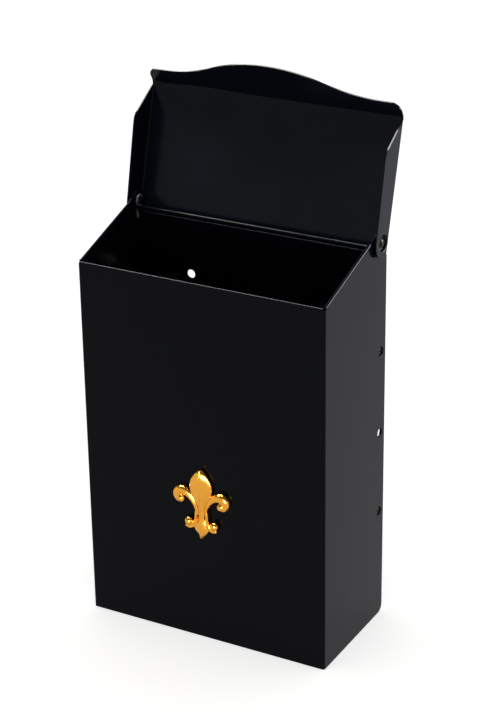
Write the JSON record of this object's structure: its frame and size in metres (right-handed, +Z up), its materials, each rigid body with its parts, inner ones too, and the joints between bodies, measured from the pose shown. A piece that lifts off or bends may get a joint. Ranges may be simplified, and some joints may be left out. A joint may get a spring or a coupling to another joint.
{
  "type": "wall mounted mailbox",
  "caption": "Narrow black enamelled steel wall mailbox with a hinged lid, a bell-shaped lip and a gold ornament on the front.",
  "frame": {"origin": "centre of the pattern of wall-mounting holes, on the wall plane", "axes": "+X to the right as one faces the mailbox, +Y back into the wall, +Z up"},
  "size_m": [0.165, 0.0984, 0.336],
  "materials": {
    "shell_enamel": "satin-gloss black enamel",
    "lid_enamel": "satin-gloss black enamel",
    "back_enamel": "satin-gloss black enamel",
    "bottom_enamel": "satin-gloss black enamel",
    "rivet_enamel": "black enamel over steel rivets",
    "zinc_plate": "bright zinc plate",
    "emblem_gold": "polished gold plate"
  },
  "bodies": {
    "body": {"body_shell": "shell_enamel", "back_panel": "back_enamel", "bottom_panel": "bottom_enamel", "emblem": "emblem_gold", "emblem_nut_lower": "zinc_plate", "emblem_nut_upper": "zinc_plate", "hinge_rivet_left": "rivet_enamel", "hinge_rivet_right": "rivet_enamel", "hinge_washer_left": "zinc_plate", "hinge_washer_right": "zinc_plate", "back_rivet_lower_left": "rivet_enamel", "back_rivet_lower_right": "rivet_enamel", "back_rivet_upper_left": "rivet_enamel", "back_rivet_upper_right": "rivet_enamel"},
    "lid": {"lid": "lid_enamel"}
  },
  "joints": [
    {"name": "lid_hinge", "type": "hinge", "parent": "body", "child": "lid", "pos_m": [0, -0.0102, 0.1257], "axis": [1, 0, 0], "range_deg": [0, 123.2]}
  ]
}
